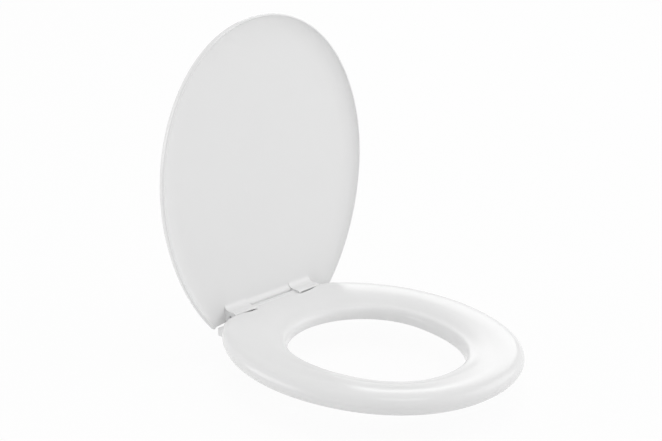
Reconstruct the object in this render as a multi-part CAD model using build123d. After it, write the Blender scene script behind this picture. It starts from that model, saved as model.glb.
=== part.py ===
from build123d import *
import math
import os

# Toilet seat with lid: an egg-shaped ring and a lid that turn on two pins,
# carried by two hinge feet whose studs clamp to the bowl. Millimetres.
# X runs across, the front is toward -Y, +Z is up. The origin lies midway between
# the two studs, on top of the bowl.

# Hinge line and joint travel
HINGE_Z = 24.0                 # height of the pin axis over the bowl
LID_OPEN = 92.65               # the lid stands open, leaning back a little
PIN_R = 2.5
RUN_GAP = 0.15                 # radial play where something turns on a pin
SIDE_GAP = 0.5                 # play along the pin between neighbours

# Seat ring
RING_HALF_WIDTH = 182.0
RING_FRONT_LENGTH = 226.0      # from the widest line to the front
RING_REAR_LENGTH = 214.0       # from the widest line to the rear point of the full egg
RING_WIDEST_Y = -183.0
RING_FRONT_POWER = 2.14        # fullness of the front and rear curves, 2 is an ellipse
RING_REAR_POWER = 1.91
RING_HEIGHT = 24.6
RING_STAND = 8.0               # the buffers lift the ring this far off the bowl
RING_REAR_Y = -13.5            # flat rear wall
RING_WALL = 3.0
REAR_ROUND = 2.0               # rounding of the rear wall's edges
CREST_INSET = 24.0             # crest line of the ring, in from the outer edge
SKIRT_TUCK = 6.0               # how far the lower edge is tucked in
SKIRT_BULGE = (0.35, 0.3)      # share of the rise to the belly, and of the tuck that is left there
BELLY = 0.573                  # height of the widest line, as a share of the ring's height
# Rise from belly to crest and inset toward the crest line, as shares
SHOULDER = ((0.5, 0.11), (0.82, 0.3), (0.96, 0.6), (1.0, 1.0))
LIP_DROP = 6.9                 # the dished top falls this far from crest to opening lip
# Share of the lip drop still to fall, and of the way from the opening to the crest line
DISH = ((0.8, 0.7), (0.4, 0.4), (0.0, 0.18))

# Opening in the ring
HOLE_HALF_WIDTH = 105.7
HOLE_WIDEST_Y = -182.0
HOLE_FRONT_LENGTH = 150.0
HOLE_REAR_LENGTH = 106.6
HOLE_FRONT_POWER = 2.22
HOLE_REAR_POWER = 2.0
HOLE_LIP_ROUND = 8.0
# Share of the lip's round that has been passed, and of the way from the opening to the crest line
LIP_ROLL = ((0.25, 0.06), (1.0, 0.0))

# Underside of the ring
RIB_COUNT = 10
RIB_THICKNESS = 2.4
RIB_RECESS = 3.0               # ribs end this far above the lower edge
BOSS_R = 10.0

# Heels behind the rear corners of the ring
HEEL_OUTER_X = 104.0
HEEL_WIDTH = 19.0
HEEL_HEIGHT = 12.0
HEEL_DROP = 3.5                # the heels reach this far below the ring's lower edge
HEEL_ROUND = 2.0

# Lid, modelled closed
LID_HALF_WIDTH = 184.6
LID_FRONT_GAP = 2.0            # overhang of the lid past the front of the ring
LID_WIDEST_Y = -188.7
LID_REAR_LENGTH = 257.0
LID_FRONT_POWER = 2.06
LID_REAR_POWER = 1.85
LID_REAR_Y = 10.0              # straight rear edge
LID_LIP_RISE = 3.0             # the lip lies this far above the pin axis
LID_DEPTH = 11.8
LID_PANEL = 2.8                # thickness of the flat panel
LID_EDGE_ROUND = 8.0
LID_LIP = 2.2                  # width of the lip
LID_MARGIN = 34.0              # width of the concave margin round the panel
LID_LIP_EASE = (0.3, 0.1)      # rise of the lip's eased edge, and its inset in edge rounds
# Rise and inset of the rounded outer edge, in edge rounds
LID_EDGE = ((0.0, 0.0), (0.5, 0.13), (0.85, 0.5), (0.97, 1.1), (1.0, 2.2))
# Share of the depth and of the margin's width, from the lip to the panel
LID_DISH = ((0.0, 0.0), (0.28, 0.06), (0.55, 0.18), (0.8, 0.4), (0.95, 0.7), (1.0, 1.0))

# Lugs of the lid
LUG_OUTER_X = 80.5
LUG_INNER_X = 41.0
CHEEK = 4.0
LUG_EYE_R = 7.5
LUG_REACH = 11.0               # the hood reaches this far past the pin axis
LUG_ROUND = 3.0                # rounding of the hood's free edge
HOOD_WALL = 2.0
HOOD_GAP = 0.6                 # between a post's barrel and the hood of the lug

# Hinge feet
BOLT_SPREAD = 140.0
POST_R = 5.2
POST_STEM_X = 20.0
POST_STEM_Y = 10.0             # a little slimmer than the barrel it carries
BASE_X = 28.0
BASE_Y = 24.0
BASE_THICKNESS = 3.0
BASE_CORNER = 0.3              # corner radius as a share of the base plate's depth
STEM_CORNER = 0.2              # corner radius as a share of the stem's depth
GASKET_THICKNESS = 2.0
GASKET_EDGE = 1.0              # the gasket stops this far inside the base plate
GASKET_BORE_GAP = 1.5
NECK_R = 5.0
NECK_LENGTH = 12.0             # below the bowl's surface
THREAD_R = 4.0
STUD_LENGTH = 32.0
STUD_CHAMFER = 1.0

# Clamping parts under the bowl
BOWL_THICKNESS = 13.0
WASHER_R = 13.0
WASHER_TIP_R = 8.5
WASHER_THICKNESS = 3.5
THREAD_GAP = 0.2
NUT_HUB_R = 8.0
NUT_HEIGHT = 9.5
WING_SPAN = 28.0
WING_THICKNESS = 3.5
WING_TIP = 6.0                 # height of a wing at its tip
WING_LIFT = 2.0                # the tip's lower edge lies this far above the hub's end
WING_EDGE = 1.0                # the wing starts this far below the hub's top

# Barrel of the ring between the lugs
BARREL_R = 6.3
PIN_IN_BARREL = 20.0
BARREL_WEB = 10.0

# Buffers
BUFFER_R = 9.0
BUFFER_STEM_R = 4.0
BUFFER_STEM_LENGTH = 9.0
BUFFER_ROUND = 2.0
STEM_GAP = 0.1
FRONT_BUFFER_ANGLE = 52.0      # from the +X side round to the front
REAR_BUFFER_ANGLE = -38.0
BUFFER_TRACK = 0.5             # share of the way from the opening to the outer edge

OUTLINE_POINTS = 16
RING_TOP = RING_STAND + RING_HEIGHT
BELLY_Z = RING_STAND + BELLY * RING_HEIGHT
LIP_Z = RING_TOP - LIP_DROP
LID_FRONT_LENGTH = LID_WIDEST_Y - (RING_WIDEST_Y - RING_FRONT_LENGTH - LID_FRONT_GAP)
SIDES = {"left": -1, "right": 1}


def signed_power(value, power):
    return math.copysign(abs(value) ** power, value)


def egg_point(half_width, front, rear, front_power, rear_power, widest_y, angle):
    """Point of an egg outline: angle 0 is the +X side and 90 degrees the front."""
    c, s = math.cos(angle), math.sin(angle)
    power = front_power if s >= 0 else rear_power
    length = front if s >= 0 else rear
    return half_width * signed_power(c, 2 / power), widest_y - length * signed_power(s, 2 / power)


def ring_point(inset, angle):
    return egg_point(RING_HALF_WIDTH - inset, RING_FRONT_LENGTH - inset, RING_REAR_LENGTH - inset,
                     RING_FRONT_POWER, RING_REAR_POWER, RING_WIDEST_Y, angle)


def hole_point(outset, angle):
    return egg_point(HOLE_HALF_WIDTH + outset, HOLE_FRONT_LENGTH + outset, HOLE_REAR_LENGTH + outset,
                     HOLE_FRONT_POWER, HOLE_REAR_POWER, HOLE_WIDEST_Y, angle)


def lid_point(inset, angle):
    return egg_point(LID_HALF_WIDTH - inset, LID_FRONT_LENGTH - inset, LID_REAR_LENGTH - inset,
                     LID_FRONT_POWER, LID_REAR_POWER, LID_WIDEST_Y, angle)


def between(share, inset, angle):
    """Point that lies a share of the way from the opening to an inset outline of the ring."""
    hole, crest = hole_point(0, angle), ring_point(inset, angle)
    return tuple(h + share * (c - h) for h, c in zip(hole, crest))


def outline(point_at, z):
    """Closed smooth outline at height z through points of an egg formula."""
    step = 2 * math.pi / OUTLINE_POINTS
    points = [(*point_at(i * step), z) for i in range(OUTLINE_POINTS)]
    return Wire([Edge.make_spline([Vector(*p) for p in points], periodic=True)])


def stack(point_at, levels):
    """Smooth solid through outlines: levels are pairs of height and offset."""
    return Solid.make_loft([outline(lambda a, d=d: point_at(d, a), z) for z, d in levels])


def rounded_box(size_x, size_y, size_z, radius):
    """Block standing on z = 0 with rounded upright edges."""
    return extrude(RectangleRounded(size_x, size_y, radius), size_z)


def bar(radius, x0, x1, y, z):
    """Round bar along X."""
    return Pos((x0 + x1) / 2, y, z) * Rot(0, 90, 0) * Cylinder(radius, abs(x1 - x0))


def half_space(y_limit):
    """Large block in front of a plane across Y."""
    size = 4 * RING_FRONT_LENGTH
    return Pos(0, y_limit - size / 2, 0) * Box(size, size, size)


def skin(sections):
    """Solid under one smooth surface over closed outlines, closed flat between the first and the last."""
    wires = [outline(point_at, z) for point_at, z in sections]
    wall = Shell.make_loft(wires)
    return Solid(Shell(wall.faces() + [Face(wires[0], [wires[-1]])]))


def ring_sections(outer, inner):
    """Outlines up the outer side, as height and inset, then down to the opening, as height and share."""
    rising = [(lambda a, d=d: ring_point(d, a), z) for z, d in outer]
    falling = [(lambda a, s=s: between(s, CREST_INSET, a), z) for z, s in inner]
    return rising + falling


def ring_envelope():
    """Outer form of the ring with its sloping shoulder, dished top and opening, before it is hollowed."""
    bulge_rise, bulge_tuck = SKIRT_BULGE
    outer = [(RING_STAND, SKIRT_TUCK),
             (RING_STAND + bulge_rise * (BELLY_Z - RING_STAND), bulge_tuck * SKIRT_TUCK),
             (BELLY_Z, 0)]
    outer += [(BELLY_Z + rise * (RING_TOP - BELLY_Z), inset * CREST_INSET) for rise, inset in SHOULDER]
    inner = [(LIP_Z + fall * LIP_DROP, share) for fall, share in DISH]
    inner += [(LIP_Z - fall * HOLE_LIP_ROUND, share) for fall, share in LIP_ROLL]
    inner += [(RING_STAND, 0)]
    body = skin(ring_sections(outer, inner)) & half_space(RING_REAR_Y)
    rear_edges = body.faces().sort_by(Axis.Y)[-1].edges().sort_by(Axis.Z)[1:]
    return fillet(rear_edges, REAR_ROUND)


def ring_cavity():
    """Hollow under the ring, open below, with its ribs and bosses left standing."""
    skirt = SKIRT_TUCK + RING_WALL
    start = RING_STAND - RING_WALL
    lip_share = RING_WALL / (RING_HALF_WIDTH - CREST_INSET - HOLE_HALF_WIDTH)
    outer = [(start, skirt), (BELLY_Z - 2 * RING_WALL, skirt)]
    outer += [(BELLY_Z + rise * (RING_TOP - BELLY_Z) - RING_WALL, inset * CREST_INSET + (1 - inset) * skirt)
              for rise, inset in SHOULDER]
    inner = [(LIP_Z + fall * LIP_DROP - RING_WALL, share + (1 - share) * lip_share) for fall, share in DISH]
    inner += [(LIP_Z - HOLE_LIP_ROUND - RING_WALL, lip_share), (start, lip_share)]
    hollow = skin(ring_sections(outer, inner)) & half_space(RING_REAR_Y - RING_WALL)
    return hollow - ring_ribs()


def buffer_places():
    """Names and positions of the four buffers."""
    places = {}
    for end, degrees in (("front", FRONT_BUFFER_ANGLE), ("rear", REAR_BUFFER_ANGLE)):
        x, y = between(BUFFER_TRACK, 0, math.radians(degrees))
        for side, sign in SIDES.items():
            places[f"{end}_buffer_{side}"] = (sign * x, y)
    return places


def ring_ribs():
    """Radial ribs and buffer bosses that cross the hollow of the ring."""
    reach = 2 * RING_FRONT_LENGTH
    rib_z = RING_STAND + RIB_RECESS + RING_HEIGHT / 2
    ribs = [Pos(0, HOLE_WIDEST_Y, rib_z) * Rot(0, 0, (i + 0.5) * 360 / RIB_COUNT)
            * Pos(reach / 2, 0, 0) * Box(reach, RIB_THICKNESS, RING_HEIGHT) for i in range(RIB_COUNT)]
    bosses = [Pos(x, y, RING_STAND + RING_HEIGHT / 2) * Cylinder(BOSS_R, RING_HEIGHT)
              for x, y in buffer_places().values()]
    return ribs + bosses


def rear_fittings():
    """Heels behind the rear corners, and the barrel with its web, on the rear wall of the ring."""
    depth = RING_WALL - RING_REAR_Y
    fittings = []
    for sign in SIDES.values():
        x = sign * (HEEL_OUTER_X - HEEL_WIDTH / 2)
        z = RING_STAND - HEEL_DROP + HEEL_HEIGHT / 2
        heel = Pos(x, -depth / 2, z) * Box(HEEL_WIDTH, depth, HEEL_HEIGHT)
        top_edge = heel.edges().filter_by(Axis.X).group_by(Axis.Y)[-1].group_by(Axis.Z)[-1]
        fittings.append(fillet(top_edge, HEEL_ROUND))
    barrel_half = LUG_INNER_X - SIDE_GAP
    fittings.append(bar(BARREL_R, -barrel_half, barrel_half, 0, HINGE_Z))
    fittings.append(Pos(0, -depth / 2, HINGE_Z) * Box(2 * barrel_half, depth, BARREL_WEB))
    return fittings


def ring_bores():
    """Sockets for the buffers' stems and bores for the pins."""
    depth = BUFFER_STEM_LENGTH + STEM_GAP
    bores = [Pos(x, y, RING_STAND + depth / 2) * Cylinder(BUFFER_STEM_R + STEM_GAP, depth)
             for x, y in buffer_places().values()]
    barrel_half = LUG_INNER_X - SIDE_GAP
    for sign in SIDES.values():
        bores.append(bar(PIN_R + RUN_GAP, sign * (barrel_half - PIN_IN_BARREL - SIDE_GAP),
                         sign * (barrel_half + SIDE_GAP), 0, HINGE_Z))
    return bores


def seat_ring():
    return (ring_envelope() - ring_cavity() + rear_fittings()) - ring_bores()


def lid_shell():
    """Tray of the lid, closed: a rounded outside and a concave margin round the flat panel."""
    lip_z = HINGE_Z + LID_LIP_RISE
    edge_z = lip_z + LID_DEPTH - LID_EDGE_ROUND
    dish = LID_DEPTH - LID_PANEL
    ease_rise, ease_inset = LID_LIP_EASE
    outside = [(lip_z, ease_inset * LID_EDGE_ROUND), (lip_z + ease_rise * (edge_z - lip_z), 0)]
    outside += [(edge_z + rise * LID_EDGE_ROUND, inset * LID_EDGE_ROUND) for rise, inset in LID_EDGE]
    recess = [(lip_z - LID_PANEL, LID_LIP)]
    recess += [(lip_z + depth * dish, LID_LIP + share * LID_MARGIN) for depth, share in LID_DISH]
    return (stack(lid_point, outside) - stack(lid_point, recess)) & half_space(LID_REAR_Y)


def lug(sign):
    """Lug of the closed lid: an eye round the pin, a rounded toe below it and a root in the panel."""
    root_z = HINGE_Z + LID_LIP_RISE + LID_DEPTH - LID_PANEL / 2
    front = POST_R + HOOD_GAP + HOOD_WALL
    eye = CenterArc((0, HINGE_Z), LUG_EYE_R, 0, 360)
    toe = CenterArc((LUG_ROUND - front, HINGE_Z - LUG_REACH + LUG_ROUND), LUG_ROUND, 0, 360)
    root = Line((-front, root_z), (LUG_EYE_R, root_z))
    profile = make_hull(eye.edges() + toe.edges() + root.edges())
    start = min(sign * LUG_INNER_X, sign * LUG_OUTER_X)
    return Pos(start, 0, 0) * extrude(Plane.YZ * profile, LUG_OUTER_X - LUG_INNER_X)


def lug_pocket(sign):
    """Space for the post between the cheeks of a lug, open behind the hood."""
    front = POST_R + HOOD_GAP
    depth = front + LID_REAR_Y + CHEEK
    middle = sign * (LUG_OUTER_X + LUG_INNER_X) / 2
    width = LUG_OUTER_X - LUG_INNER_X - 2 * CHEEK
    return Pos(middle, depth / 2 - front, HINGE_Z) * Box(width, depth, 4 * LID_DEPTH)


def lid():
    body = lid_shell()
    for sign in SIDES.values():
        inner, outer = sign * (LUG_INNER_X - SIDE_GAP), sign * (LUG_OUTER_X + SIDE_GAP)
        bore = bar(PIN_R + RUN_GAP, inner, outer, 0, HINGE_Z)
        body = body + lug(sign) - lug_pocket(sign) - bore
    return body.rotate(Axis((0, 0, HINGE_Z), (1, 0, 0)), -LID_OPEN)


def hinge_foot(sign):
    """Post with a barrel for the pin, a base plate, a plain neck and a threaded stud."""
    x = sign * BOLT_SPREAD / 2
    barrel_inner = LUG_INNER_X + CHEEK + SIDE_GAP
    barrel_outer = LUG_OUTER_X - CHEEK - SIDE_GAP
    barrel = bar(POST_R, sign * barrel_inner, sign * barrel_outer, 0, HINGE_Z)
    base_z = GASKET_THICKNESS
    base = Pos(x, 0, base_z) * rounded_box(BASE_X, BASE_Y, BASE_THICKNESS, BASE_CORNER * BASE_Y)
    stem_x = sign * (barrel_outer - POST_STEM_X / 2)
    stem_z = base_z + BASE_THICKNESS
    stem = rounded_box(POST_STEM_X, POST_STEM_Y, HINGE_Z - stem_z, STEM_CORNER * POST_STEM_Y)
    neck = Pos(x, 0, (base_z - NECK_LENGTH) / 2) * Cylinder(NECK_R, base_z + NECK_LENGTH)
    thread_length = STUD_LENGTH - NECK_LENGTH
    thread = Pos(x, 0, -NECK_LENGTH - thread_length / 2) * Cylinder(THREAD_R, thread_length)
    thread = chamfer(thread.edges().group_by(Axis.Z)[0], STUD_CHAMFER)
    foot = barrel + Pos(stem_x, 0, stem_z) * stem + base + neck + thread
    return foot - bar(PIN_R, sign * (barrel_inner - SIDE_GAP), sign * (barrel_outer + SIDE_GAP), 0, HINGE_Z)


def hinge_pin(sign):
    """Pin, pressed into the post, on which the lug and the ring's barrel turn."""
    inner = LUG_INNER_X - SIDE_GAP - PIN_IN_BARREL
    return bar(PIN_R, sign * inner, sign * (LUG_OUTER_X - SIDE_GAP), 0, HINGE_Z)


def foot_gasket(sign):
    size_x, size_y = BASE_X - 2 * GASKET_EDGE, BASE_Y - 2 * GASKET_EDGE
    pad = rounded_box(size_x, size_y, GASKET_THICKNESS, BASE_CORNER * size_y)
    pad = pad - Pos(0, 0, GASKET_THICKNESS / 2) * Cylinder(NECK_R + GASKET_BORE_GAP, GASKET_THICKNESS)
    return Pos(sign * BOLT_SPREAD / 2, 0, 0) * pad


def clamp_washer(sign):
    """Cone washer that bears on the underside of the bowl."""
    cone = Cone(WASHER_TIP_R, WASHER_R, WASHER_THICKNESS) - Cylinder(THREAD_R + THREAD_GAP, WASHER_THICKNESS)
    return Pos(sign * BOLT_SPREAD / 2, 0, -BOWL_THICKNESS - WASHER_THICKNESS / 2) * cone


def wing_nut(sign):
    """Hub with two wings along Y."""
    half, end = WING_SPAN / 2, -NUT_HEIGHT
    blade = Polyline((0, end), (half, end + WING_LIFT), (half, end + WING_LIFT + WING_TIP), (0, -WING_EDGE),
                     close=True)
    wing = extrude(Plane.YZ * make_face(blade), WING_THICKNESS / 2, both=True)
    hub = Pos(0, 0, end / 2) * Cylinder(NUT_HUB_R, NUT_HEIGHT)
    bore = Pos(0, 0, end / 2) * Cylinder(THREAD_R + THREAD_GAP, NUT_HEIGHT)
    nut = hub + wing + mirror(wing, Plane.XZ) - bore
    return Pos(sign * BOLT_SPREAD / 2, 0, -BOWL_THICKNESS - WASHER_THICKNESS) * nut


def buffer(x, y):
    """Soft bumper: a domed pad with a stem pressed into a boss of the ring."""
    pad = Pos(0, 0, RING_STAND / 2) * Cylinder(BUFFER_R, RING_STAND)
    pad = fillet(pad.edges().group_by(Axis.Z)[0], BUFFER_ROUND)
    stem = Pos(0, 0, RING_STAND + BUFFER_STEM_LENGTH / 2) * Cylinder(BUFFER_STEM_R, BUFFER_STEM_LENGTH)
    return Pos(x, y, 0) * (pad + stem)


def all_parts():
    parts = {"seat_ring": seat_ring(), "lid": lid()}
    for side, sign in SIDES.items():
        parts[f"hinge_foot_{side}"] = hinge_foot(sign)
        parts[f"hinge_pin_{side}"] = hinge_pin(sign)
        parts[f"foot_gasket_{side}"] = foot_gasket(sign)
        parts[f"clamp_washer_{side}"] = clamp_washer(sign)
        parts[f"wing_nut_{side}"] = wing_nut(sign)
    for name, (x, y) in buffer_places().items():
        parts[name] = buffer(x, y)
    return parts


os.makedirs("parts", exist_ok=True)
for name, shape in all_parts().items():
    export_step(shape, f"parts/{name}.step")
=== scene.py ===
import math
from collections import namedtuple

import bmesh
import bpy
import numpy as np
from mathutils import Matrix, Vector
from mathutils.bvhtree import BVHTree
from mathutils.interpolate import poly_3d_calc


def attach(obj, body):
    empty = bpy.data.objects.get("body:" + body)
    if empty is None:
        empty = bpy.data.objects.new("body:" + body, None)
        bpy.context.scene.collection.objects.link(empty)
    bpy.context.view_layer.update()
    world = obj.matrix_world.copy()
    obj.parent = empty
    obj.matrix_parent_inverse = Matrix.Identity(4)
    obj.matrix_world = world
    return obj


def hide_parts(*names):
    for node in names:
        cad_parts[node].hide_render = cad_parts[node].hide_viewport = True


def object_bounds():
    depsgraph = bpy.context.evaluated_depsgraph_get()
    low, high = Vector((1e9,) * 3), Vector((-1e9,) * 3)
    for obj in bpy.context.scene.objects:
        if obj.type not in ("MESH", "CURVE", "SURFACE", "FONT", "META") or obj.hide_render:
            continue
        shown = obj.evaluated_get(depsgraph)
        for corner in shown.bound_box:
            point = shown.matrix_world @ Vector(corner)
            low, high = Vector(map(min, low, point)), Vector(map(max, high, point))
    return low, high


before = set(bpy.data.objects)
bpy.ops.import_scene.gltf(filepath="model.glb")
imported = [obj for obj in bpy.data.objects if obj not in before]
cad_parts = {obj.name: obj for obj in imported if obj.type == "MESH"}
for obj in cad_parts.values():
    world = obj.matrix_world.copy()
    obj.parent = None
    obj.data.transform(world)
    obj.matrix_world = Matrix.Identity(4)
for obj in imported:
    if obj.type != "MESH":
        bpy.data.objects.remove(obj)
CAD_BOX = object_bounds()
MM = 0.001
TINY = 1e-12
WHITE = (1, 1, 1, 1)

# Camera: the photo's viewing angle, in degrees, metres and pixels of a 662 by 441 frame
VIEW_AZIMUTH = -44.51
VIEW_ELEVATION = 20.09
VIEW_DISTANCE = 2.66431
VIEW_TARGET = Vector((-0.01817, -0.13447, 0.18615))
VIEW_REACH = 50.0
FOCAL_PIXELS = 2002.4
FRAME_WIDTH = 662
SENSOR_MM = 36.0

# Floor just under the lowest stud, in metres
FLOOR_DROP = 0.001
FLOOR_SIZE = 12.0
FLOOR_COLOUR = (0.9, 0.9, 0.9, 1)
FLOOR_ROUGHNESS = 0.9
FLOOR_SHADOW = 0.06            # how much of the floor's own shading shows through its white

# Strength of the surround as a light, before and behind the object
FRONT_LIGHT = 0.85
BACK_LIGHT = 0.43

# Softboxes, in metres and watts
LIGHT_AIM = Vector((0, -0.15, 0.15))
Softbox = namedtuple("Softbox", "name place width height power")
SOFTBOXES = (
    Softbox("top_softbox", (0.1, -0.3, 2.2), 0.8, 0.8, 4.0),
    Softbox("side_softbox", (1.95, -1.5, 1.4), 2.2, 1.8, 14.0),
    Softbox("back_right_softbox", (1.7, 1.3, 1.0), 1.4, 0.7, 4.3),
    Softbox("back_left_softbox", (-1.9, 1.6, 0.7), 1.8, 1.4, 15.0),
)

# Plastics: colour, mean roughness and strength of the orange-peel relief
Plastic = namedtuple("Plastic", "name colour roughness peel")
SEAT_WHITE = Plastic("seat_white_plastic", (0.87, 0.87, 0.87), 0.2, 0.02)
FITTING_WHITE = Plastic("fitting_white_plastic", (0.8, 0.8, 0.79), 0.38, 0.1)
PALE_RUBBER = Plastic("pale_soft_rubber", (0.72, 0.72, 0.7), 0.62, 0.35)
PLASTIC_IOR = 1.49
DRIFT_SCALE, DRIFT_DETAIL = 9.0, 2.0
DRIFT_DARKEST = 0.985          # share of the colour where the drift is darkest
DRIFT_GLOSS = (0.85, 1.15)     # shares of the roughness that the drift runs between
PEEL_SCALE, PEEL_DETAIL = 380.0, 1.0
PEEL_HEIGHT = 0.0004

# Drawn steel of the pins, with streaks along X
STEEL_COLOUR = (0.56, 0.56, 0.57, 1)
STEEL_ROUGHNESS = (0.22, 0.42)
STREAK_STRETCH = (40, 2500, 2500)
STREAK_DETAIL = 3.0
STREAK_RELIEF = 0.15
STREAK_HEIGHT = 0.0001

# Egg outlines of the mouldings, in millimetres, as in the CAD model
Egg = namedtuple("Egg", "half_width front rear front_power rear_power widest_y")
RING_EGG = Egg(182.0, 226.0, 214.0, 2.14, 1.91, -183.0)
HOLE_EGG = Egg(105.7, 150.0, 106.6, 2.22, 2.0, -182.0)
LID_EGG = Egg(184.6, 222.3, 257.0, 2.06, 1.85, -188.7)
OUTLINE_POINTS = 16
HINGE_Z = 24.0
LID_OPEN = math.radians(92.65)

# Ring section: heights, insets and the shares that the CAD model's outlines have
RING_STAND = 8.0
RING_TOP = 32.6
BELLY_Z = RING_STAND + 0.573 * (RING_TOP - RING_STAND)
CREST_INSET = 24.0
SKIRT_TUCK = 6.0
SKIRT_BULGE = (0.35, 0.3)
SHOULDER = ((0.5, 0.11), (0.82, 0.3), (0.96, 0.6), (1.0, 1.0))
LIP_DROP = 6.9
DISH = ((0.8, 0.7), (0.4, 0.4), (0.0, 0.18))
HOLE_LIP_ROUND = 8.0
LIP_ROLL = ((0.25, 0.06), (1.0, 0.0))

# Lid section, closed
LID_LIP_Z = HINGE_Z + 3.0
LID_DEPTH = 11.8
LID_PANEL = 2.8
LID_PANEL_Z = LID_LIP_Z + LID_DEPTH - LID_PANEL
LID_EDGE_ROUND = 8.0
LID_LIP = 2.2
LID_MARGIN = 34.0
LID_LIP_EASE = (0.3, 0.1)
LID_EDGE = ((0.0, 0.0), (0.5, 0.13), (0.85, 0.5), (0.97, 1.1), (1.0, 2.2))
LID_DISH = ((0.0, 0.0), (0.28, 0.06), (0.55, 0.18), (0.8, 0.4), (0.95, 0.7), (1.0, 1.0))

# Hinge end of the closed lid: fillets at the lugs' roots and a low rib from lug to lug
LUG_INNER_X = 41.0
LUG_OUTER_X = 80.5
HOOD_FRONT_Y = -7.8
ROOT_FILLET = 9.0
RIB_FRONT_Y = -6.6
RIB_FILLET = 8.0
RIB_LOW_Z = 30.5
RIB_BACK_Y = -2.0
ROOT_SINK = 0.4                # how far these reach into the panel and the lugs
FILLET_STEPS = 14

# Thread that shows on each stud below its nut
BOLT_SPREAD = 140.0
THREAD_R = 4.0
THREAD_TOP_Z = -26.3
THREAD_END_Z = -30.6
THREAD_PITCH = 1.25
THREAD_RIDGE = 0.35
THREAD_STEPS = 40              # points in one turn
RIDGE_SIDES = 8

# Fineness of the guide surfaces, and how near a face must lie to take their shading
GUIDE_AROUND = 320
GUIDE_ALONG = 72
GUIDE_REACH = 3.0 * MM
GUIDE_AGREE = 0.85
CREASE_ANGLE = math.radians(32)
WELD_DISTANCE = 0.002 * MM


def add_object(name, data):
    obj = bpy.data.objects.new(name, data)
    bpy.context.scene.collection.objects.link(obj)
    return obj


def egg_ring(egg, offset):
    """Points of an egg outline in the plane, grown by an offset; the first lies on the +X side."""
    angle = np.arange(OUTLINE_POINTS) * 2 * np.pi / OUTLINE_POINTS
    c, s = np.cos(angle), np.sin(angle)
    power = np.where(s >= -TINY, egg.front_power, egg.rear_power)
    length = np.where(s >= -TINY, egg.front, egg.rear) + offset
    x = (egg.half_width + offset) * np.sign(c) * np.abs(c) ** (2 / power)
    y = egg.widest_y - length * np.sign(s) * np.abs(s) ** (2 / power)
    return np.column_stack([x, y])


def at_height(points, z):
    return np.column_stack([points, np.full(len(points), z)])


def cubic_through(points, knots, places, closed):
    """Values at places of a smooth cubic curve through points at the given knots."""
    n = len(points)
    step = np.diff(knots)
    slope = np.diff(points, axis=0) / step.reshape(-1, *[1] * (points.ndim - 1))
    system = np.zeros((n, n))
    right = np.zeros_like(points)
    for i in range(1, n - 1):
        system[i, i - 1:i + 2] = step[i - 1], 2 * (step[i - 1] + step[i]), step[i]
        right[i] = 6 * (slope[i] - slope[i - 1])
    if closed:
        system[0, 0], system[0, -1] = 1, -1
        system[-1, 0], system[-1, 1] = 2 * step[0], step[0]
        system[-1, -2], system[-1, -1] = step[-1], 2 * step[-1]
        right[-1] = 6 * (slope[0] - slope[-1])
    else:
        system[0, 0] = system[-1, -1] = 1
    bend = np.linalg.solve(system, right.reshape(n, -1)).reshape(points.shape)
    span = np.clip(np.searchsorted(knots, places, side="right") - 1, 0, n - 2)
    shape = (-1, *[1] * (points.ndim - 1))
    h = step[span].reshape(shape)
    b = ((places - knots[span]) / step[span]).reshape(shape)
    a = 1 - b
    return (a * points[span] + b * points[span + 1]
            + ((a ** 3 - a) * bend[span] + (b ** 3 - b) * bend[span + 1]) * h ** 2 / 6)


def chord_knots(points):
    """Running length along points, or the mean of it along the rows of a grid."""
    length = np.linalg.norm(np.diff(points, axis=0), axis=-1)
    if length.ndim > 1:
        length = length.mean(axis=1)
    return np.concatenate([[0], np.cumsum(length)])


def guide_surface(outlines):
    """Fine grid, in metres, of the smooth surface over closed outlines."""
    loops = []
    for points in outlines:
        closed = np.vstack([points, points[:1]])
        knots = chord_knots(closed)
        places = np.arange(GUIDE_AROUND) * knots[-1] / GUIDE_AROUND
        loops.append(cubic_through(closed, knots, places, True))
    loops = np.array(loops)
    knots = chord_knots(loops)
    places = np.linspace(0, knots[-1], GUIDE_ALONG)
    return cubic_through(loops, knots, places, False) * MM


def ring_guide():
    """Top of the ring, from its lower outer edge over the crest to the opening's lower edge."""
    bulge_rise, bulge_tuck = SKIRT_BULGE
    lip_z = RING_TOP - LIP_DROP
    outer = [(RING_STAND, SKIRT_TUCK),
             (RING_STAND + bulge_rise * (BELLY_Z - RING_STAND), bulge_tuck * SKIRT_TUCK),
             (BELLY_Z, 0)]
    outer += [(BELLY_Z + rise * (RING_TOP - BELLY_Z), inset * CREST_INSET)
              for rise, inset in SHOULDER]
    inner = [(lip_z + fall * LIP_DROP, share) for fall, share in DISH]
    inner += [(lip_z - fall * HOLE_LIP_ROUND, share) for fall, share in LIP_ROLL]
    inner.append((RING_STAND, 0))
    crest, hole = egg_ring(RING_EGG, -CREST_INSET), egg_ring(HOLE_EGG, 0)
    outlines = [at_height(egg_ring(RING_EGG, -inset), z) for z, inset in outer]
    outlines += [at_height(hole + share * (crest - hole), z) for z, share in inner]
    return guide_surface(outlines)


def open_lid(grid):
    """Turn points of the closed lid about the hinge line to where the lid stands open."""
    c, s = math.cos(LID_OPEN), math.sin(LID_OPEN)
    x, y, z = grid[..., 0], grid[..., 1], grid[..., 2] - HINGE_Z * MM
    return np.stack([x, y * c + z * s, z * c - y * s + HINGE_Z * MM], axis=-1)


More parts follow.
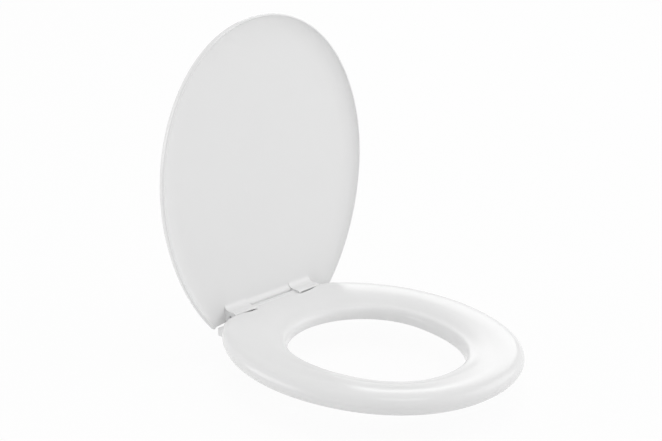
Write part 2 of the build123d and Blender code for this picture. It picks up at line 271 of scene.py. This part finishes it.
def lid_guides():
    """Rounded outside and concave margin of the lid, standing open."""
    edge_z = LID_LIP_Z + LID_DEPTH - LID_EDGE_ROUND
    ease_rise, ease_inset = LID_LIP_EASE
    dish = LID_DEPTH - LID_PANEL
    outside = [(LID_LIP_Z, ease_inset * LID_EDGE_ROUND),
               (LID_LIP_Z + ease_rise * (edge_z - LID_LIP_Z), 0)]
    outside += [(edge_z + rise * LID_EDGE_ROUND, inset * LID_EDGE_ROUND)
                for rise, inset in LID_EDGE]
    margin = [(LID_LIP_Z - LID_PANEL, LID_LIP)]
    margin += [(LID_LIP_Z + depth * dish, LID_LIP + share * LID_MARGIN)
               for depth, share in LID_DISH]
    return [open_lid(guide_surface([at_height(egg_ring(LID_EGG, -inset), z)
                                    for z, inset in levels]))
            for levels in (outside, margin)]


def grid_normals(grid):
    """Unit normals of a grid that is closed around and open along."""
    along = np.gradient(grid, axis=0)
    around = np.roll(grid, -1, axis=1) - np.roll(grid, 1, axis=1)
    normal = np.cross(around, along)
    return normal / np.maximum(np.linalg.norm(normal, axis=-1, keepdims=True), TINY)


def mark_creases(bm):
    """Shade smooth, apart from the edges that are sharp."""
    for face in bm.faces:
        face.smooth = True
    for edge in bm.edges:
        edge.smooth = edge.is_manifold and edge.calc_face_angle(0) < CREASE_ANGLE


def welded_copy(node, name):
    """Copy of a CAD node's mesh with its doubled points merged."""
    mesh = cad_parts[node].data.copy()
    mesh.name = name
    bm = bmesh.new()
    bm.from_mesh(mesh)
    bmesh.ops.remove_doubles(bm, verts=bm.verts, dist=WELD_DISTANCE)
    mark_creases(bm)
    bm.to_mesh(mesh)
    bm.free()
    return mesh


def grid_faces(rows, columns, start):
    """Quads of a grid that is closed around, as numbers of its points."""
    faces = []
    for j in range(rows - 1):
        for i in range(columns):
            k = (i + 1) % columns
            faces.append((start + j * columns + i, start + j * columns + k,
                          start + (j + 1) * columns + k, start + (j + 1) * columns + i))
    return faces


def smooth_moulding(node, name, guides):
    """Welded copy of a CAD moulding whose faces along the guides are shaded as smooth as those."""
    mesh = welded_copy(node, name)
    verts, faces, normals = [], [], []
    for grid in guides:
        faces += grid_faces(len(grid), grid.shape[1], len(verts))
        verts += [Vector(p) for p in grid.reshape(-1, 3)]
        normals += [Vector(n) for n in grid_normals(grid).reshape(-1, 3)]
    tree = BVHTree.FromPolygons(verts, faces)
    custom = [None] * len(mesh.loops)
    corner = mesh.corner_normals
    for polygon in mesh.polygons:
        for loop in polygon.loop_indices:
            point = mesh.vertices[mesh.loops[loop].vertex_index].co
            custom[loop] = corner[loop].vector.copy()
            place, _, index, _ = tree.find_nearest(point, GUIDE_REACH)
            if index is None:
                continue
            quad = faces[index]
            weights = poly_3d_calc([verts[v] for v in quad], place)
            normal = sum((normals[v] * w for v, w in zip(quad, weights)), Vector()).normalized()
            if normal.dot(polygon.normal) < 0:
                normal.negate()
            if normal.dot(polygon.normal) > GUIDE_AGREE:
                custom[loop] = normal
    mesh.normals_split_custom_set(custom)
    return add_object(name, mesh)


def concave_arc(front_y, radius, low_z):
    """Section points (y, z) of a fillet from a face at front_y to the closed lid's panel."""
    centre_y, centre_z = front_y - radius, LID_PANEL_Z - radius
    first = math.asin((max(low_z, centre_z) - centre_z) / radius)
    angles = np.linspace(first, math.pi / 2, FILLET_STEPS)
    return [(centre_y + radius * math.cos(a), centre_z + radius * math.sin(a)) for a in angles]


def lid_roots():
    """Fillets that carry the panel into the lugs, and the rib between the lugs, lid open."""
    top_z = LID_PANEL_Z + ROOT_SINK
    fillet = concave_arc(HOOD_FRONT_Y, ROOT_FILLET, 0)
    fillet += [(HOOD_FRONT_Y - ROOT_FILLET, top_z), (HOOD_FRONT_Y + ROOT_SINK, top_z),
               (HOOD_FRONT_Y + ROOT_SINK, LID_PANEL_Z - ROOT_FILLET)]
    rib = concave_arc(RIB_FRONT_Y, RIB_FILLET, RIB_LOW_Z)
    rib += [(RIB_FRONT_Y - RIB_FILLET, top_z), (RIB_BACK_Y, top_z), (RIB_BACK_Y, RIB_LOW_Z)]
    spans = [(fillet, -LUG_OUTER_X, -LUG_INNER_X), (fillet, LUG_INNER_X, LUG_OUTER_X),
             (rib, -LUG_INNER_X - ROOT_SINK, LUG_INNER_X + ROOT_SINK)]
    bm = bmesh.new()
    for section, start, end in spans:
        rows = []
        for x in (start, end):
            closed = np.array([(x, y, z) for y, z in section]) * MM
            rows.append([bm.verts.new(point) for point in open_lid(closed)])
        count = len(section)
        for i in range(count):
            k = (i + 1) % count
            bm.faces.new((rows[0][i], rows[0][k], rows[1][k], rows[1][i]))
        bm.faces.new(rows[0][::-1])
        bm.faces.new(rows[1])
    bmesh.ops.recalc_face_normals(bm, faces=bm.faces)
    mark_creases(bm)
    mesh = bpy.data.meshes.new("lid_roots")
    bm.to_mesh(mesh)
    bm.free()
    return add_object("lid_roots", mesh)


def new_material(name):
    """Node material with a Principled shader; returns the material, its nodes, links and shader."""
    material = bpy.data.materials.new(name)
    material.use_nodes = True
    nodes, links = material.node_tree.nodes, material.node_tree.links
    return material, nodes, links, nodes["Principled BSDF"]


def add_noise(nodes, links, vector, scale, detail):
    noise = nodes.new("ShaderNodeTexNoise")
    noise.inputs["Scale"].default_value = scale
    noise.inputs["Detail"].default_value = detail
    links.new(vector, noise.inputs["Vector"])
    return noise.outputs["Fac"]


def add_range(nodes, links, value, low, high):
    scaled = nodes.new("ShaderNodeMapRange")
    scaled.inputs["To Min"].default_value = low
    scaled.inputs["To Max"].default_value = high
    links.new(value, scaled.inputs["Value"])
    return scaled.outputs["Result"]


def add_relief(nodes, links, shader, height, strength, distance):
    bump = nodes.new("ShaderNodeBump")
    bump.inputs["Strength"].default_value = strength
    bump.inputs["Distance"].default_value = distance
    links.new(height, bump.inputs["Height"])
    links.new(bump.outputs["Normal"], shader.inputs["Normal"])


def moulded_plastic(kind):
    """Moulded plastic: slight tone drift, uneven gloss and a faint orange-peel relief."""
    material, nodes, links, shader = new_material(kind.name)
    place = nodes.new("ShaderNodeTexCoord").outputs["Object"]
    drift = add_noise(nodes, links, place, DRIFT_SCALE, DRIFT_DETAIL)
    tone = nodes.new("ShaderNodeValToRGB")
    tone.color_ramp.elements[0].color = (*[c * DRIFT_DARKEST for c in kind.colour], 1)
    tone.color_ramp.elements[1].color = (*kind.colour, 1)
    links.new(drift, tone.inputs["Fac"])
    links.new(tone.outputs["Color"], shader.inputs["Base Color"])
    low, high = DRIFT_GLOSS
    gloss = add_range(nodes, links, drift, kind.roughness * low, kind.roughness * high)
    links.new(gloss, shader.inputs["Roughness"])
    grain = add_noise(nodes, links, place, PEEL_SCALE, PEEL_DETAIL)
    add_relief(nodes, links, shader, grain, kind.peel, PEEL_HEIGHT)
    shader.inputs["IOR"].default_value = PLASTIC_IOR
    return material


def drawn_steel(name):
    """Drawn steel: fine streaks along X, worn a little uneven."""
    material, nodes, links, shader = new_material(name)
    stretch = nodes.new("ShaderNodeMapping")
    stretch.inputs["Scale"].default_value = STREAK_STRETCH
    links.new(nodes.new("ShaderNodeTexCoord").outputs["Object"], stretch.inputs["Vector"])
    streaks = add_noise(nodes, links, stretch.outputs["Vector"], 1.0, STREAK_DETAIL)
    gloss = add_range(nodes, links, streaks, *STEEL_ROUGHNESS)
    links.new(gloss, shader.inputs["Roughness"])
    add_relief(nodes, links, shader, streaks, STREAK_RELIEF, STREAK_HEIGHT)
    shader.inputs["Base Color"].default_value = STEEL_COLOUR
    shader.inputs["Metallic"].default_value = 1.0
    return material


def paint(obj, material):
    """Give an object one material, in each slot that it has."""
    if not obj.material_slots:
        obj.data.materials.append(material)
    for slot in obj.material_slots:
        slot.material = material


def thread_tree(size_names, material):
    """Geometry Nodes tree of both studs' threads; returns it and its input sockets by name."""
    tree = bpy.data.node_groups.new("stud_threads", "GeometryNodeTree")
    sockets = {name: tree.interface.new_socket(name, in_out="INPUT", socket_type="NodeSocketFloat")
               for name in size_names}
    tree.interface.new_socket("Geometry", in_out="OUTPUT", socket_type="NodeSocketGeometry")
    nodes, links = tree.nodes, tree.links
    given = nodes.new("NodeGroupInput").outputs

    # One helical ridge
    spiral = nodes.new("GeometryNodeCurveSpiral")
    spiral.inputs["Resolution"].default_value = THREAD_STEPS
    links.new(given["Turns"], spiral.inputs["Rotations"])
    links.new(given["Stud Radius"], spiral.inputs["Start Radius"])
    links.new(given["Stud Radius"], spiral.inputs["End Radius"])
    links.new(given["Length"], spiral.inputs["Height"])
    ridge = nodes.new("GeometryNodeCurvePrimitiveCircle")
    ridge.inputs["Resolution"].default_value = RIDGE_SIDES
    links.new(given["Ridge Radius"], ridge.inputs["Radius"])
    sweep = nodes.new("GeometryNodeCurveToMesh")
    sweep.inputs["Fill Caps"].default_value = True
    links.new(spiral.outputs["Curve"], sweep.inputs["Curve"])
    links.new(ridge.outputs["Curve"], sweep.inputs["Profile Curve"])

    # A copy of it on each stud
    left = nodes.new("ShaderNodeMath")
    left.operation = "MULTIPLY"
    left.inputs[1].default_value = -0.5
    links.new(given["Stud Spread"], left.inputs[0])
    first = nodes.new("ShaderNodeCombineXYZ")
    links.new(left.outputs["Value"], first.inputs["X"])
    links.new(given["End Height"], first.inputs["Z"])
    across = nodes.new("ShaderNodeCombineXYZ")
    links.new(given["Stud Spread"], across.inputs["X"])
    studs = nodes.new("GeometryNodeMeshLine")
    studs.inputs["Count"].default_value = 2
    links.new(first.outputs["Vector"], studs.inputs["Start Location"])
    links.new(across.outputs["Vector"], studs.inputs["Offset"])
    copies = nodes.new("GeometryNodeInstanceOnPoints")
    links.new(studs.outputs["Mesh"], copies.inputs["Points"])
    links.new(sweep.outputs["Mesh"], copies.inputs["Instance"])
    real = nodes.new("GeometryNodeRealizeInstances")
    links.new(copies.outputs["Instances"], real.inputs["Geometry"])
    finish = nodes.new("GeometryNodeSetMaterial")
    finish.inputs["Material"].default_value = material
    links.new(real.outputs["Geometry"], finish.inputs["Geometry"])
    links.new(finish.outputs["Geometry"], nodes.new("NodeGroupOutput").inputs[0])
    return tree, sockets


def stud_threads(material):
    """Helical ridge on the free end of both studs."""
    sizes = {
        "Turns": (THREAD_TOP_Z - THREAD_END_Z) / THREAD_PITCH,
        "Length": (THREAD_TOP_Z - THREAD_END_Z) * MM,
        "Stud Radius": THREAD_R * MM,
        "Ridge Radius": THREAD_RIDGE * MM,
        "Stud Spread": BOLT_SPREAD * MM,
        "End Height": THREAD_END_Z * MM,
    }
    tree, sockets = thread_tree(sizes, material)
    maker = add_object("stud_thread_maker", bpy.data.meshes.new("stud_thread_maker"))
    modifier = maker.modifiers.new("threads", "NODES")
    modifier.node_group = tree
    for name, size in sizes.items():
        modifier[sockets[name].identifier] = size
    depsgraph = bpy.context.evaluated_depsgraph_get()
    baked = bpy.data.meshes.new_from_object(maker.evaluated_get(depsgraph))
    bpy.data.objects.remove(maker)
    baked.name = "stud_threads"
    for polygon in baked.polygons:
        polygon.use_smooth = True
    return add_object("stud_threads", baked)


def add_camera():
    azimuth, elevation = math.radians(VIEW_AZIMUTH), math.radians(VIEW_ELEVATION)
    back = Vector((math.sin(azimuth) * math.cos(elevation),
                   -math.cos(azimuth) * math.cos(elevation), math.sin(elevation)))
    data = bpy.data.cameras.new("view_camera")
    data.sensor_width = SENSOR_MM
    data.lens = FOCAL_PIXELS * SENSOR_MM / FRAME_WIDTH
    data.clip_end = VIEW_REACH
    camera = add_object("view_camera", data)
    camera.location = VIEW_TARGET + back * VIEW_DISTANCE
    camera.rotation_euler = back.to_track_quat("Z", "Y").to_euler()
    bpy.context.scene.camera = camera


def seen_rays(nodes, links):
    """Socket that is 1 for the camera's view and for what shines or passes through in it, else 0."""
    path = nodes.new("ShaderNodeLightPath")
    either = path.outputs["Is Camera Ray"]
    for name in ("Is Glossy Ray", "Is Transmission Ray"):
        join = nodes.new("ShaderNodeMath")
        join.operation = "MAXIMUM"
        links.new(either, join.inputs[0])
        links.new(path.outputs[name], join.inputs[1])
        either = join.outputs["Value"]
    return either


def floor_material():
    """White where it is seen, with a little of the floor's own shading kept."""
    material, nodes, links, shader = new_material("studio_floor")
    shader.inputs["Base Color"].default_value = FLOOR_COLOUR
    shader.inputs["Roughness"].default_value = FLOOR_ROUGHNESS
    glow = nodes.new("ShaderNodeEmission")
    glow.inputs["Color"].default_value = WHITE
    share = nodes.new("ShaderNodeMath")
    share.operation = "MULTIPLY"
    share.inputs[1].default_value = 1 - FLOOR_SHADOW
    links.new(seen_rays(nodes, links), share.inputs[0])
    mix = nodes.new("ShaderNodeMixShader")
    links.new(share.outputs["Value"], mix.inputs["Fac"])
    links.new(shader.outputs["BSDF"], mix.inputs[1])
    links.new(glow.outputs["Emission"], mix.inputs[2])
    links.new(mix.outputs["Shader"], nodes["Material Output"].inputs["Surface"])
    return material


def add_floor():
    """Pale floor that keeps the object's shadow."""
    half = FLOOR_SIZE / 2
    z = CAD_BOX[0][2] - FLOOR_DROP
    corners = [(-half, -half, z), (half, -half, z), (half, half, z), (-half, half, z)]
    mesh = bpy.data.meshes.new("studio_floor")
    mesh.from_pydata(corners, [], [(0, 1, 2, 3)])
    mesh.materials.append(floor_material())
    floor = add_object("studio_floor", mesh)


def add_world():
    """Soft white surround: white behind the object and in reflections, weaker light from behind."""
    world = bpy.data.worlds.new("studio")
    world.use_nodes = True
    nodes, links = world.node_tree.nodes, world.node_tree.links
    background = nodes["Background"]
    background.inputs["Color"].default_value = WHITE
    split = nodes.new("ShaderNodeSeparateXYZ")
    links.new(nodes.new("ShaderNodeTexCoord").outputs["Generated"], split.inputs["Vector"])
    light = nodes.new("ShaderNodeMapRange")
    light.inputs["From Min"].default_value = -1.0
    light.inputs["From Max"].default_value = 1.0
    light.inputs["To Min"].default_value = FRONT_LIGHT
    light.inputs["To Max"].default_value = BACK_LIGHT
    links.new(split.outputs["Y"], light.inputs["Value"])
    strength = nodes.new("ShaderNodeMapRange")
    strength.inputs["To Max"].default_value = 1.0
    links.new(light.outputs["Result"], strength.inputs["To Min"])
    links.new(seen_rays(nodes, links), strength.inputs["Value"])
    links.new(strength.outputs["Result"], background.inputs["Strength"])
    bpy.context.scene.world = world


def add_softbox(box):
    data = bpy.data.lights.new(box.name, "AREA")
    data.shape = "RECTANGLE"
    data.size, data.size_y = box.width, box.height
    data.energy = box.power
    lamp = add_object(box.name, data)
    lamp.location = box.place
    lamp.rotation_euler = (Vector(box.place) - LIGHT_AIM).to_track_quat("Z", "Y").to_euler()


bpy.context.scene.view_settings.view_transform = "Standard"
add_camera()
add_floor()
add_world()
for softbox in SOFTBOXES:
    add_softbox(softbox)

seat_white = moulded_plastic(SEAT_WHITE)
fitting_white = moulded_plastic(FITTING_WHITE)
pale_rubber = moulded_plastic(PALE_RUBBER)
pin_steel = drawn_steel("drawn_pin_steel")
for node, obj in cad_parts.items():
    if "pin" in node:
        paint(obj, pin_steel)
    elif "buffer" in node or "gasket" in node:
        paint(obj, pale_rubber)
    elif node in ("seat_ring", "lid"):
        paint(obj, seat_white)
    else:
        paint(obj, fitting_white)

ring = smooth_moulding("seat_ring", "ring_moulding", [ring_guide()])
lid = smooth_moulding("lid", "lid_moulding", lid_guides())
for piece, node, body in ((ring, "seat_ring", "seat"), (lid, "lid", "lid")):
    paint(piece, seat_white)
    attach(piece, body)
    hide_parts(node)
roots = lid_roots()
paint(roots, seat_white)
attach(roots, "lid")
threads = stud_threads(fitting_white)
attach(threads, "fixing")
